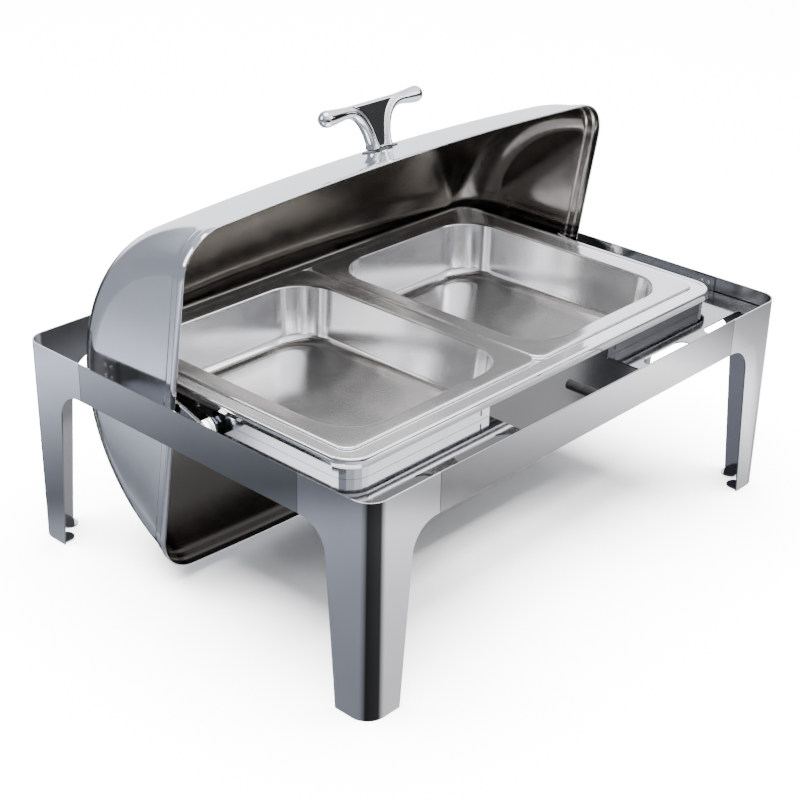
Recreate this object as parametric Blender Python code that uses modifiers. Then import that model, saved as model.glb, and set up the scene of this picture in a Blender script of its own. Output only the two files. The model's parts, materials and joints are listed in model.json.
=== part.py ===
"""Roll top chafer: a polished frame that carries a water pan, two half-size food pans and a roll-back lid.

Metres, +Z up, +X along the long side, guest side at -Y. The origin is on the floor under the middle.
The lid is modelled open, rolled back about the shafts at the middle of the two ends.
"""

import math

import bmesh
import bpy
from mathutils import Matrix, Vector

NAME = "roll_top_chafer"
GAP = 0.0003

# Frame.
FRAME_W = 0.630
FRAME_D = 0.476
FRAME_H = 0.222
FRAME_SHEET = 0.0015
FRAME_ROUND = 0.020
RAIL_H = 0.040
FLANGE = 0.087
LEG_FOOT_W = 0.041
LEG_WAIST_W = 0.053
ARCH_R = 0.030
TAB_W = 0.018
TAB_REACH = 0.019
TAB_START = 0.0205
JOINT_PLATE_W = 0.026
JOINT_PLATE_OVERLAP = 0.007
JOINT_PLATE_SHEET = 0.0012
JOINT_PLATE_INSET = 0.0010
RAIL_BEVEL = 0.0003

# Bumper on the front rail.
PIN_Z = FRAME_H - 0.0080
PIN_FLANGE_R = 0.0060
PIN_FLANGE_T = 0.0012
BUMPER_R = 0.0050
BUMPER_TIP = -0.1975
BUMPER_CORE_R = 0.0022
BUMPER_CORE_END = 0.0040

# Pans, standard full-size and half-size plan sizes.
WATER_W = 0.561
WATER_D = 0.362
WATER_TOP = 0.2270
WATER_DEPTH = 0.100
WATER_LEDGE_DROP = 0.0030
PAN_SHEET = 0.0010
FOOD_W = 0.2648
FOOD_D = 0.325
FOOD_TOP = 0.2285
FOOD_DEPTH = 0.065
FOOD_GAP = 0.0012

# End supports under the water pan's rim.
SUPPORT_SHEET = 0.0015
SUPPORT_INSET = 0.0035
SUPPORT_ROUND = 0.0225
SHELF_TOP = 0.2050
RETURN_END = 0.092
SIDE_SHELF_END = -0.030
SHELF_LIP = 0.012
CHEEK_HALF = 0.0170
CHEEK_LOW = 0.1840
SLOTS = ((-0.288, -0.214), (-0.180, -0.106))
SLOT_Y = (-0.2285, -0.2060)
SLIT_FROM_END = 0.013
SLIT_W = 0.0020

# Lid and its joint.
PIVOT_Y = -0.002
PIVOT_Z = 0.200
LID_R_MID = 0.197
LID_R_END = 0.1885
LID_HALF = 0.2995
LID_FILLET = 0.038
LID_SHEET = 0.0010
LID_RIM_OFFSET = 0.028
LID_LEAN = math.radians(8.7)
LID_STEPS = 48
RIM_BAND = 0.010
RIM_STEP = 0.0020
HANDLE_BACK = 0.084

# Pivot hardware.
LUG_T = 0.0040
LUG_R = 0.0105
LUG_REACH = 0.052
LUG_BASE_HALF = 0.0145
LUG_RIVET_Y = LID_RIM_OFFSET + 0.0155
LUG_RIVET_Z = 0.0072
RIVET_R = 0.0018
RIVET_HEAD_R = 0.0034
SHAFT_R = 0.0040
SHAFT_HEAD_R = 0.0075
BRACKET_X = 0.2850
BRACKET_SHEET = 0.0020
BRACKET_HALF = 0.0140

# Handle.
BAR_R = 0.0080
BAR_HALF = 0.072
BAR_HEIGHT = 0.043
WEB_T = 0.0100
POST_HALF = 0.0165
PAD_T = 0.0010
PAD_HALF = 0.0175
PAD_R = 0.0060
SCREW_X = 0.0100
SCREW_R = 0.0020
SCREW_END = 0.0095

PARTS = None
CUTTERS = None


def clear_scene():
    for obj in list(bpy.data.objects):
        bpy.data.objects.remove(obj, do_unlink=True)


def new_collection(name):
    made = bpy.data.collections.new(name)
    bpy.context.scene.collection.children.link(made)
    return made


def material(name, colour, roughness, metallic):
    made = bpy.data.materials.get(name)
    if made:
        return made
    made = bpy.data.materials.new(name)
    made.use_nodes = True
    shader = made.node_tree.nodes["Principled BSDF"]
    shader.inputs["Base Color"].default_value = (*colour, 1.0)
    shader.inputs["Roughness"].default_value = roughness
    shader.inputs["Metallic"].default_value = metallic
    return made


def link(obj, collection):
    for other in list(obj.users_collection):
        other.objects.unlink(obj)
    collection.objects.link(obj)


def turn_faces_out(bm):
    bmesh.ops.recalc_face_normals(bm, faces=bm.faces)
    if bm.calc_volume(signed=True) < 0:
        bmesh.ops.reverse_faces(bm, faces=bm.faces)


def mesh_object(name, bm, closed=True):
    if closed:
        turn_faces_out(bm)
    data = bpy.data.meshes.new(name)
    bm.to_mesh(data)
    bm.free()
    obj = bpy.data.objects.new(name, data)
    CUTTERS.objects.link(obj)
    return obj


def baked(obj, faces_out=True):
    """The object's evaluated shape as plain mesh data. A single closed skin can have its faces turned out."""
    bpy.context.view_layer.update()
    graph = bpy.context.evaluated_depsgraph_get()
    data = bpy.data.meshes.new_from_object(obj.evaluated_get(graph))
    bm = bmesh.new()
    bm.from_mesh(data)
    bm.transform(obj.matrix_world)
    bmesh.ops.remove_doubles(bm, verts=bm.verts, dist=1e-6)
    bmesh.ops.dissolve_degenerate(bm, edges=bm.edges, dist=1e-6)
    if faces_out:
        turn_faces_out(bm)
    bm.to_mesh(data)
    bm.free()
    name = obj.name
    bpy.data.objects.remove(obj, do_unlink=True)
    made = bpy.data.objects.new(name, data)
    CUTTERS.objects.link(made)
    return made


def boolean(target, other, operation):
    """Cuts or joins at once, and removes the tool."""
    made = target.modifiers.new(operation.lower(), "BOOLEAN")
    made.operation = operation
    made.object = other
    made.solver = "EXACT"
    target = baked(target, faces_out=False)
    bpy.data.objects.remove(other, do_unlink=True)
    return target


def cut(target, *tools):
    for tool in tools:
        target = boolean(target, tool, "DIFFERENCE")
    return target


def join(target, *tools):
    for tool in tools:
        target = boolean(target, tool, "UNION")
    return target


def box(name, low, high, bevel=0.0):
    bm = bmesh.new()
    bmesh.ops.create_cube(bm, size=1.0)
    size = Vector(high) - Vector(low)
    middle = (Vector(high) + Vector(low)) / 2
    bm.transform(Matrix.Translation(middle) @ Matrix.Diagonal((*size, 1.0)))
    obj = mesh_object(name, bm)
    if bevel:
        made = obj.modifiers.new("bevel", "BEVEL")
        made.width = bevel
        made.segments = 2
        obj = baked(obj)
    return obj


def rod(name, radius, start, end, sides=24):
    """A cylinder between two points."""
    start = Vector(start)
    end = Vector(end)
    bm = bmesh.new()
    bmesh.ops.create_cone(
        bm, cap_ends=True, segments=sides, radius1=radius, radius2=radius, depth=(end - start).length
    )
    turn = (end - start).to_track_quat("Z", "Y").to_matrix().to_4x4()
    bm.transform(Matrix.Translation((start + end) / 2) @ turn)
    return mesh_object(name, bm)


def turned(name, profile, steps=24):
    """A solid turned about X from (x, radius) points that start and end on the axis."""
    bm = bmesh.new()
    points = [bm.verts.new((x, 0.0, radius)) for x, radius in profile]
    for first, second in zip(points, points[1:]):
        bm.edges.new((first, second))
    obj = mesh_object(name, bm, closed=False)
    made = obj.modifiers.new("turn", "SCREW")
    made.axis = "X"
    made.steps = steps
    made.render_steps = steps
    made.use_merge_vertices = True
    made.merge_threshold = 0.00001
    return baked(obj)


def outline(name, points, thickness, arc_sides=12):
    """A flat plate in XY, centred on z=0, from straight points and (centre, radius, from, to) arcs."""
    path = []
    for item in points:
        if len(item) == 2:
            path.append(item)
            continue
        centre_x, centre_y, radius, start, end = item
        sides = max(2, round(abs(end - start) / 360 * 4 * arc_sides))
        for k in range(sides + 1):
            angle = math.radians(start + (end - start) * k / sides)
            path.append((centre_x + radius * math.cos(angle), centre_y + radius * math.sin(angle)))
    data = bpy.data.curves.new(name, "CURVE")
    data.dimensions = "2D"
    data.fill_mode = "BOTH"
    data.extrude = thickness / 2
    spline = data.splines.new("POLY")
    spline.points.add(len(path) - 1)
    for point, (x, y) in zip(spline.points, path):
        point.co = (x, y, 0.0, 1.0)
    spline.use_cyclic_u = True
    obj = bpy.data.objects.new(name, data)
    CUTTERS.objects.link(obj)
    return baked(obj)


def placed(obj, matrix):
    """Moves the shape itself, so that its origin stays at the world's."""
    obj.data.transform(matrix)
    if matrix.determinant() < 0:
        obj.data.flip_normals()
    return obj


def wall(name, path, low, high, sheet, side):
    """An upright sheet along a path in XY, with its thickness to the left (+1) or right (-1) of the path."""
    bm = bmesh.new()
    bottom = [bm.verts.new((x, y, low)) for x, y in path]
    top = [bm.verts.new((x, y, high)) for x, y in path]
    for k in range(len(path) - 1):
        bm.faces.new((bottom[k], bottom[k + 1], top[k + 1], top[k]))
    bm.normal_update()
    obj = mesh_object(name, bm, closed=False)
    made = obj.modifiers.new("sheet", "SOLIDIFY")
    made.thickness = sheet
    made.offset = -side
    made.use_even_offset = True
    return baked(obj)


def arc(centre_x, centre_y, radius, start, end, sides):
    """Points along an arc, in degrees."""
    for k in range(sides + 1):
        angle = math.radians(start + (end - start) * k / sides)
        yield (centre_x + radius * math.cos(angle), centre_y + radius * math.sin(angle))


def rounded_loop(half_x, half_y, radius, sides=5):
    """Corner points of a rounded rectangle about the origin."""
    corners = ((1, 1, 0), (-1, 1, 90), (-1, -1, 180), (1, -1, 270))
    for sign_x, sign_y, start in corners:
        centre_x = sign_x * (half_x - radius)
        centre_y = sign_y * (half_y - radius)
        yield from arc(centre_x, centre_y, radius, start, start + 90, sides)


def pressed_pan(name, rows, sheet):
    """A drawn sheet vessel: an open loft through (half_x, half_y, radius, z) loops, thickened below."""
    bm = bmesh.new()
    before = None
    for half_x, half_y, radius, z in rows:
        loop = [bm.verts.new((x, y, z)) for x, y in rounded_loop(half_x, half_y, radius)]
        if before:
            for k in range(len(loop)):
                bm.faces.new((before[k - 1], before[k], loop[k], loop[k - 1]))
        before = loop
    bm.faces.new(before)
    obj = mesh_object(name, bm, closed=False)
    made = obj.modifiers.new("sheet", "SOLIDIFY")
    made.thickness = sheet
    made.use_even_offset = True
    made.offset = -1.0
    return baked(obj)


def piece(obj, name, look, origin=None):
    """Files a finished solid as a node of the chafer."""
    obj.name = name
    obj.data.name = name
    obj.data.materials.clear()
    obj.data.materials.append(look)
    link(obj, PARTS)
    if origin is not None:
        obj.data.transform(Matrix.Translation(-Vector(origin)))
        obj.location = origin
    obj.data.shade_smooth()
    obj.data.set_sharp_from_angle(angle=math.radians(35))
    return obj


def mirrored(source, name, sign_x, sign_y):
    """A copy of a node on the other side of the chafer."""
    data = source.data.copy()
    copy = bpy.data.objects.new(name, data)
    data.name = name
    here = source.location
    data.transform(Matrix.Diagonal((sign_x, sign_y, 1.0, 1.0)))
    if sign_x * sign_y < 0:
        data.flip_normals()
    copy.location = (here.x * sign_x, here.y * sign_y, here.z)
    PARTS.objects.link(copy)
    return copy


def arch_cutter(name):
    """What is cut from the outer side of one leg flange, in (distance from the corner, height)."""
    band_z = FRAME_H - RAIL_H
    waist_z = band_z - ARCH_R
    far = FLANGE + 0.02
    return outline(
        name,
        [
            (LEG_FOOT_W, -0.01),
            (LEG_WAIST_W, waist_z),
            (LEG_WAIST_W + ARCH_R, waist_z, ARCH_R, 180, 90),
            (far, band_z),
            (far, -0.01),
        ],
        0.03,
    )


def front_left_leg():
    """An L of sheet with a rounded upright edge, narrowed below the rails, with a foot tab on each flange."""
    corner_x = -FRAME_W / 2
    corner_y = -FRAME_D / 2
    path = [(corner_x + FLANGE, corner_y)]
    path += list(arc(corner_x + FRAME_ROUND, corner_y + FRAME_ROUND, FRAME_ROUND, 270, 180, 6))
    path.append((corner_x, corner_y + FLANGE))
    leg = wall("leg", path, 0.0, FRAME_H, FRAME_SHEET, -1)
    upright = Matrix.Rotation(math.pi / 2, 4, "X")
    front = placed(arch_cutter("arch_x"), Matrix.Translation((corner_x, corner_y, 0.0)) @ upright)
    quarter = Matrix.Rotation(math.pi / 2, 4, "Z")
    side = placed(arch_cutter("arch_y"), Matrix.Translation((corner_x, corner_y, 0.0)) @ quarter @ upright)
    leg = cut(leg, front, side)
    return join(leg, *foot_tabs(corner_x, corner_y))


def foot_tabs(corner_x, corner_y):
    """The two round-ended tabs, bent in level with the floor."""
    half = TAB_W / 2
    tab = [(-half, 0.0005), (half, 0.0005), (0.0, TAB_REACH - half, half, 0, 180)]
    middle = TAB_START + half
    front = outline("tab_x", tab, FRAME_SHEET, 5)
    placed(front, Matrix.Translation((corner_x + middle, corner_y, FRAME_SHEET / 2)))
    side = outline("tab_y", tab, FRAME_SHEET, 5)
    turn = Matrix.Rotation(-math.pi / 2, 4, "Z")
    placed(side, Matrix.Translation((corner_x, corner_y + middle, FRAME_SHEET / 2)) @ turn)
    return front, side


def make_frame():
    steel = material("frame_steel", (0.80, 0.81, 0.83), 0.08, 1.0)
    leg = piece(front_left_leg(), "leg_front_left", steel)
    mirrored(leg, "leg_front_right", -1, 1)
    mirrored(leg, "leg_back_left", 1, -1)
    mirrored(leg, "leg_back_right", -1, -1)

    low = FRAME_H - RAIL_H
    long_half = FRAME_W / 2 - FLANGE - GAP
    short_half = FRAME_D / 2 - FLANGE - GAP
    outer_y = -FRAME_D / 2
    outer_x = -FRAME_W / 2
    front = box("rail", (-long_half, outer_y, low), (long_half, outer_y + FRAME_SHEET, FRAME_H), RAIL_BEVEL)
    piece(front, "rail_front", steel)
    back = box(
        "rail", (-long_half, -outer_y - FRAME_SHEET, low), (long_half, -outer_y, FRAME_H), RAIL_BEVEL
    )
    piece(back, "rail_back", steel)
    left = box("rail", (outer_x, -short_half, low), (outer_x + FRAME_SHEET, short_half, FRAME_H), RAIL_BEVEL)
    left = piece(left, "rail_left", steel)
    mirrored(left, "rail_right", -1, 1)

    start = FLANGE - JOINT_PLATE_OVERLAP
    inner_y = outer_y + FRAME_SHEET + GAP
    inner_x = outer_x + FRAME_SHEET + GAP
    plate_low = low + JOINT_PLATE_INSET
    plate_high = FRAME_H - JOINT_PLATE_INSET
    plate = box(
        "plate",
        (outer_x + start, inner_y, plate_low),
        (outer_x + start + JOINT_PLATE_W, inner_y + JOINT_PLATE_SHEET, plate_high),
    )
    front_plate = piece(plate, "joint_plate_front_left", steel)
    mirrored(front_plate, "joint_plate_front_right", -1, 1)
    mirrored(front_plate, "joint_plate_back_left", 1, -1)
    mirrored(front_plate, "joint_plate_back_right", -1, -1)
    plate = box(
        "plate",
        (inner_x, outer_y + start, plate_low),
        (inner_x + JOINT_PLATE_SHEET, outer_y + start + JOINT_PLATE_W, plate_high),
    )
    side_plate = piece(plate, "joint_plate_left_front", steel)
    mirrored(side_plate, "joint_plate_right_front", -1, 1)
    mirrored(side_plate, "joint_plate_left_back", 1, -1)
    mirrored(side_plate, "joint_plate_right_back", -1, -1)


def make_bumper():
    """The rubber-sleeved pin on the front rail that the closed lid's rim comes down on."""
    outer_y = -FRAME_D / 2
    steel = material("fastener_steel", (0.72, 0.73, 0.75), 0.22, 1.0)
    rubber = material("black_rubber", (0.02, 0.02, 0.022), 0.55, 0.0)
    turn = Matrix.Rotation(math.pi / 2, 4, "Z")
    inner_y = outer_y + FRAME_SHEET + GAP
    head = turned(
        "pin",
        [
            (inner_y, 0.0),
            (inner_y, PIN_FLANGE_R),
            (inner_y + PIN_FLANGE_T, PIN_FLANGE_R),
            (inner_y + PIN_FLANGE_T, BUMPER_CORE_R),
            (BUMPER_TIP - BUMPER_CORE_END, BUMPER_CORE_R),
            (BUMPER_TIP - BUMPER_CORE_END, 0.0),
        ],
        16,
    )
    placed(head, Matrix.Translation((0, 0, PIN_Z)) @ turn)
    piece(head, "bumper_pin", steel)
    root = inner_y + PIN_FLANGE_T + GAP
    bore = BUMPER_CORE_R + GAP
    sleeve = turned(
        "sleeve",
        [
            (root, 0.0),
            (root, BUMPER_R),
            (BUMPER_TIP - 0.0015, BUMPER_R),
            (BUMPER_TIP, 0.0032),
            (BUMPER_TIP, 0.0),
        ],
        20,
    )
    placed(sleeve, Matrix.Translation((0, 0, PIN_Z)) @ turn)
    hole = rod("hole", bore, (0, root - 0.01, PIN_Z), (0, BUMPER_TIP - BUMPER_CORE_END + GAP, PIN_Z), 16)
    piece(cut(sleeve, hole), "bumper_sleeve", rubber)


def make_pans():
    water_steel = material("pan_steel", (0.78, 0.79, 0.80), 0.16, 1.0)
    half_x = WATER_W / 2
    half_y = WATER_D / 2
    ledge = WATER_TOP - WATER_LEDGE_DROP
    step_x = FOOD_W + FOOD_GAP / 2 + 0.0012
    step_y = FOOD_D / 2 + 0.0010
    ledge_in = 0.0145
    floor = WATER_TOP - WATER_DEPTH
    rows = [
        (half_x, half_y, 0.026, WATER_TOP - 0.0080),
        (half_x, half_y, 0.026, WATER_TOP - 0.0012),
        (half_x - 0.0012, half_y - 0.0012, 0.0248, WATER_TOP),
        (step_x + 0.0010, step_y + 0.0010, 0.016, WATER_TOP),
        (step_x, step_y, 0.015, ledge),
        (step_x - ledge_in, step_y - ledge_in, 0.034, ledge),
        (step_x - ledge_in - 0.0030, step_y - ledge_in - 0.0030, 0.036, ledge - 0.0030),
        (step_x - ledge_in - 0.0070, step_y - ledge_in - 0.0070, 0.036, floor + 0.0120),
        (step_x - ledge_in - 0.0105, step_y - ledge_in - 0.0105, 0.034, floor + 0.0035),
        (step_x - ledge_in - 0.0190, step_y - ledge_in - 0.0190, 0.028, floor + PAN_SHEET),
    ]
    piece(pressed_pan("water_pan", rows, PAN_SHEET), "water_pan", water_steel)

    food_steel = material("food_pan_steel", (0.84, 0.84, 0.84), 0.12, 1.0)
    half_x = FOOD_W / 2
    half_y = FOOD_D / 2
    side_rim = 0.0205
    end_rim = 0.0185
    floor = FOOD_TOP - FOOD_DEPTH
    rows = [
        (half_x, half_y, 0.013, FOOD_TOP - 0.0039),
        (half_x, half_y, 0.013, FOOD_TOP - 0.0010),
        (half_x - 0.0010, half_y - 0.0010, 0.012, FOOD_TOP),
        (half_x - side_rim, half_y - end_rim, 0.046, FOOD_TOP),
        (half_x - side_rim - 0.0020, half_y - end_rim - 0.0020, 0.046, FOOD_TOP - 0.0020),
        (half_x - side_rim - 0.0060, half_y - end_rim - 0.0060, 0.044, floor + 0.0120),
        (half_x - side_rim - 0.0095, half_y - end_rim - 0.0095, 0.042, floor + 0.0035),
        (half_x - side_rim - 0.0180, half_y - end_rim - 0.0180, 0.034, floor + PAN_SHEET),
    ]
    left = pressed_pan("food_pan", rows, PAN_SHEET)
    centre = (-(FOOD_W + FOOD_GAP) / 2, 0.0, 0.0)
    placed(left, Matrix.Translation(centre))
    left = piece(left, "food_pan_left", food_steel, centre)
    mirrored(left, "food_pan_right", -1, 1)


def support_path():
    """The line of a left-hand support's collar, from its front return round to its back return."""
    x = WATER_W / 2 - SUPPORT_INSET
    y = WATER_D / 2 - SUPPORT_INSET
    radius = SUPPORT_ROUND
    path = [(-RETURN_END, -y)]
    path += list(arc(-x + radius, -y + radius, radius, 270, 180, 5))
    path += list(arc(-x + radius, y - radius, radius, 180, 90, 5))
    path.append((-RETURN_END, y))
    return path


def make_supports():
    """Collars that carry the water pan's rim, and the shelves that tie them to the frame's front half."""
    steel = material("support_steel", (0.76, 0.77, 0.80), 0.14, 1.0)
    top = WATER_TOP - PAN_SHEET - GAP
    collar = wall("collar", support_path(), SHELF_TOP - SUPPORT_SHEET, top, SUPPORT_SHEET, -1)
    x = WATER_W / 2 - SUPPORT_INSET
    y = WATER_D / 2 - SUPPORT_INSET
    inner_r = SUPPORT_ROUND + GAP
    outer_x = FRAME_W / 2 - FRAME_SHEET - JOINT_PLATE_SHEET - 2 * GAP
    outer_y = FRAME_D / 2 - FRAME_SHEET - JOINT_PLATE_SHEET - 2 * GAP
    in_x = x + GAP
    in_y = y + GAP
    shelf = outline(
        "shelf",
        [
            (-RETURN_END, -in_y),
            (-in_x + inner_r, -in_y + inner_r, inner_r, 270, 180),
            (-in_x, SIDE_SHELF_END),
            (-outer_x, SIDE_SHELF_END),
            (-outer_x + FRAME_ROUND, -outer_y + FRAME_ROUND, FRAME_ROUND, 180, 270),
            (-RETURN_END, -outer_y),
        ],
        SUPPORT_SHEET,
        5,
    )
    placed(shelf, Matrix.Translation((0, 0, SHELF_TOP - SUPPORT_SHEET / 2)))
    lip_path = [(-RETURN_END, -outer_y)]
    lip_path += list(arc(-outer_x + FRAME_ROUND, -outer_y + FRAME_ROUND, FRAME_ROUND, 270, 180, 5))
    lip_path.append((-outer_x, SIDE_SHELF_END))
    lip = wall("lip", lip_path, SHELF_TOP - SHELF_LIP, SHELF_TOP, SUPPORT_SHEET, -1)
    cheek = box(
        "cheek", (-x, -CHEEK_HALF, CHEEK_LOW), (-x + SUPPORT_SHEET, CHEEK_HALF, SHELF_TOP + 0.005)
    )
    collar = piece(cut(join(collar, cheek), collar_slit()), "pan_collar_left", steel)
    mirrored(collar, "pan_collar_right", -1, 1)
    shelf = piece(cut(join(shelf, lip), *shelf_slots()), "support_shelf_left", steel)
    mirrored(shelf, "support_shelf_right", -1, 1)


def shelf_slots():
    """The two long openings in the front of a shelf."""
    for start, end in SLOTS:
        radius = (SLOT_Y[1] - SLOT_Y[0]) / 2
        middle = sum(SLOT_Y) / 2
        slot = outline(
            "slot",
            [(start + radius, middle, radius, 90, 270), (end - radius, middle, radius, -90, 90)],
            0.01,
            5,
        )
        yield placed(slot, Matrix.Translation((0, 0, SHELF_TOP)))


def collar_slit():
    """The narrow slit near the front end of a collar."""
    slit_x = -RETURN_END - SLIT_FROM_END
    collar_y = SUPPORT_INSET - WATER_D / 2
    return box(
        "slit",
        (slit_x, collar_y - 0.01, SHELF_TOP + 0.004),
        (slit_x + SLIT_W, collar_y + 0.01, WATER_TOP - 0.0105),
    )


def lid_frame():
    """Places the lid's own frame: X along the shafts, Y into the open lid, Z up its rim."""
    return Matrix.Translation((0, PIVOT_Y, PIVOT_Z)) @ Matrix.Rotation(LID_LEAN, 4, "X")


def barrel_radius(x):
    """The barrel's radius, which swells towards the middle of its length."""
    straight = LID_HALF - LID_FILLET
    return LID_R_MID - (LID_R_MID - LID_R_END) * (x / straight) ** 2


def barrel(name, grow, steps=LID_STEPS):
    """The whole barrel that the lid is cut from, grown outward by a distance."""
    straight = LID_HALF - LID_FILLET
    fillet = LID_FILLET + grow
    bows = 8
    fillets = 5
    half = [(straight * k / bows, barrel_radius(straight * k / bows) + grow) for k in range(bows)]
    for k in range(fillets + 1):
        angle = math.pi / 2 * k / fillets
        half.append(
            (straight + fillet * math.sin(angle), LID_R_END - LID_FILLET + fillet * math.cos(angle))
        )
    half.append((LID_HALF + grow, 0.0))
    profile = [(-x, radius) for x, radius in reversed(half[1:])] + half
    solid = turned(name, profile, steps)
    # A flat of the barrel lies square under the handle.
    face = math.degrees(handle_angle())
    step = 360 / steps
    turn = face - step * (round(face / step) - 0.5)
    return placed(solid, Matrix.Rotation(-math.radians(turn), 4, "X"))


def handle_angle():
    """How far round from straight up the handle stands, towards the back."""
    return math.asin(HANDLE_BACK / LID_R_MID)


def lid_shell():
    """A barrel of sheet, cut open along its rim plane, with a raised band round the opening."""
    far = 0.5
    shell = cut(barrel("lid", 0.0), box("open_side", (-far, -far, -far), (far, LID_RIM_OFFSET, far)))
    band = cut(barrel("band", RIM_STEP), box("before", (-far, -far, -far), (far, LID_RIM_OFFSET, far)))
    band = cut(band, box("behind", (-far, LID_RIM_OFFSET + RIM_BAND, -far), (far, far, far)))
    return cut(join(shell, band), barrel("hollow", -LID_SHEET))


def make_lid():
    steel = material("lid_steel", (0.82, 0.83, 0.86), 0.07, 1.0)
    chrome = material("chrome", (0.78, 0.79, 0.80), 0.05, 1.0)
    fastener = material("fastener_steel", (0.72, 0.73, 0.75), 0.22, 1.0)
    pivot = (0.0, PIVOT_Y, PIVOT_Z)
    place = lid_frame()
    shell = cut(lid_shell(), *lug_rivet_holes(-1), *lug_rivet_holes(1), *handle_screw_holes())
    piece(placed(shell, place), "lid_shell", steel, pivot)
    for sign, side in ((-1, "left"), (1, "right")):
        lug = cut(lug_plate(sign), *lug_rivet_holes(sign))
        piece(placed(lug, place), f"lid_lug_{side}", chrome, pivot)
        for z, level in ((-LUG_RIVET_Z, "lower"), (LUG_RIVET_Z, "upper")):
            piece(placed(lug_rivet(sign, z), place), f"lug_rivet_{side}_{level}", fastener, pivot)
    make_handle(place, pivot, chrome, fastener)


def lug_outer():
    """The plane of the lug's outer face, just inside the lid's end."""
    return LID_HALF - LID_SHEET - GAP


def lug_plate(sign):
    """The cast ear from inside the rim of an end to the shaft."""
    plate = outline(
        "lug",
        [
            (0.0, 0.0, LUG_R, 90, 270),
            (LID_RIM_OFFSET, -LUG_BASE_HALF),
            (LUG_REACH, -LUG_BASE_HALF),
            (LUG_REACH, LUG_BASE_HALF),
            (LID_RIM_OFFSET, LUG_BASE_HALF),
        ],
        LUG_T,
        6,
    )
    made = plate.modifiers.new("soft", "BEVEL")
    made.width = 0.0008
    made.segments = 1
    made.limit_method = "ANGLE"
    plate = baked(plate)
    # From the plate's own XY to the lid's YZ.
    turn = Matrix(((0, 0, 1, 0), (1, 0, 0, 0), (0, 1, 0, 0), (0, 0, 0, 1)))
    placed(plate, Matrix.Translation((sign * (lug_outer() - LUG_T / 2), 0, 0)) @ turn)
    reach = LID_HALF + 0.02
    bore = rod("bore", SHAFT_R + GAP, (sign * (reach - 0.05), 0, 0), (sign * reach, 0, 0))
    return cut(plate, bore)


def lug_rivet_holes(sign):
    for z in (-LUG_RIVET_Z, LUG_RIVET_Z):
        inner = sign * (LID_HALF - 0.02)
        outer = sign * (LID_HALF + 0.02)
        yield rod("hole", RIVET_R + GAP, (inner, LUG_RIVET_Y, z), (outer, LUG_RIVET_Y, z), 12)


def lug_rivet(sign, z):
    inner = lug_outer() - LUG_T - GAP
    outer = LID_HALF + GAP
    rivet = turned(
        "rivet",
        [
            (inner - 0.0012, 0.0),
            (inner - 0.0010, RIVET_HEAD_R * 0.7),
            (inner, RIVET_HEAD_R),
            (inner, RIVET_R),
            (outer, RIVET_R),
            (outer, RIVET_HEAD_R),
            (outer + 0.0010, RIVET_HEAD_R * 0.7),
            (outer + 0.0012, 0.0),
        ],
        12,
    )
    if sign < 0:
        placed(rivet, Matrix.Diagonal((-1, 1, 1, 1)))
    return placed(rivet, Matrix.Translation((0, LUG_RIVET_Y, z)))


def handle_place():
    """The handle's own frame: X along its bar, Z out from the lid, its foot on the lid's surface."""
    step = math.pi / LID_STEPS
    surface = barrel_radius(0.0) * math.cos(step) + GAP + 0.0001
    return Matrix.Rotation(-handle_angle(), 4, "X") @ Matrix.Translation((0, 0, surface))


def handle_screw_holes():
    for x in (-SCREW_X, SCREW_X):
        hole = rod("hole", SCREW_R + GAP, (x, 0, -0.01), (x, 0, 0.014), 12)
        yield placed(hole, handle_place())


def make_handle(place, pivot, chrome, fastener):
    gasket_look = material("gasket", (0.10, 0.10, 0.11), 0.5, 0.0)
    ready = place @ handle_place()
    pad = outline(
        "pad",
        [(-PAD_HALF, 0.0, PAD_R, 90, 270), (PAD_HALF, 0.0, PAD_R, -90, 90)],
        PAD_T,
        4,
    )
    placed(pad, Matrix.Translation((0, 0, PAD_T / 2)))
    holes = [rod("hole", SCREW_R + GAP, (x, 0, -0.01), (x, 0, 0.01), 12) for x in (-SCREW_X, SCREW_X)]
    piece(placed(cut(pad, *holes), ready), "handle_gasket", gasket_look, pivot)

    foot = PAD_T + GAP
    sweep = BAR_HEIGHT - foot - 0.004
    web = outline(
        "web",
        [
            (-POST_HALF, foot),
            (POST_HALF, foot),
            (POST_HALF + sweep, foot + 0.004, sweep, 180, 98),
            (POST_HALF + sweep, BAR_HEIGHT),
            (-POST_HALF - sweep, BAR_HEIGHT),
            (-POST_HALF - sweep, foot + 0.004, sweep, 82, 0),
        ],
        WEB_T,
        6,
    )
    placed(web, Matrix.Rotation(math.pi / 2, 4, "X"))
    made = web.modifiers.new("soft", "BEVEL")
    made.width = 0.0018
    made.segments = 2
    made.limit_method = "ANGLE"
    made.angle_limit = math.radians(50)
    web = baked(web)
    nose = 5
    profile = [(-BAR_HALF, 0.0)]
    for k in range(1, nose + 1):
        angle = math.pi / 2 * k / nose
        profile.append((-BAR_HALF + BAR_R * (1 - math.cos(angle)), BAR_R * math.sin(angle)))
    profile += [(-x, radius) for x, radius in reversed(profile)]
    bar = placed(turned("bar", profile, 20), Matrix.Translation((0, 0, BAR_HEIGHT)))
    grip = join(web, bar)
    bore_r = SCREW_R + GAP
    bore_end = SCREW_END + 0.001
    blind = [rod("bore", bore_r, (x, 0, -0.01), (x, 0, bore_end), 12) for x in (-SCREW_X, SCREW_X)]
    piece(placed(cut(grip, *blind), ready), "lid_handle", chrome, pivot)

    inside = -LID_SHEET - 4 * GAP
    for x, side in ((-SCREW_X, "left"), (SCREW_X, "right")):
        screw = turned(
            "screw",
            [
                (inside - 0.0024, 0.0),
                (inside - 0.0020, 0.0030),
                (inside, 0.0042),
                (inside, SCREW_R),
                (SCREW_END, SCREW_R),
                (SCREW_END, 0.0),
            ],
            12,
        )
        placed(screw, Matrix.Translation((x, 0, 0)) @ Matrix.Rotation(-math.pi / 2, 4, "Y"))
        piece(placed(screw, ready), f"handle_screw_{side}", fastener, pivot)


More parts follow.
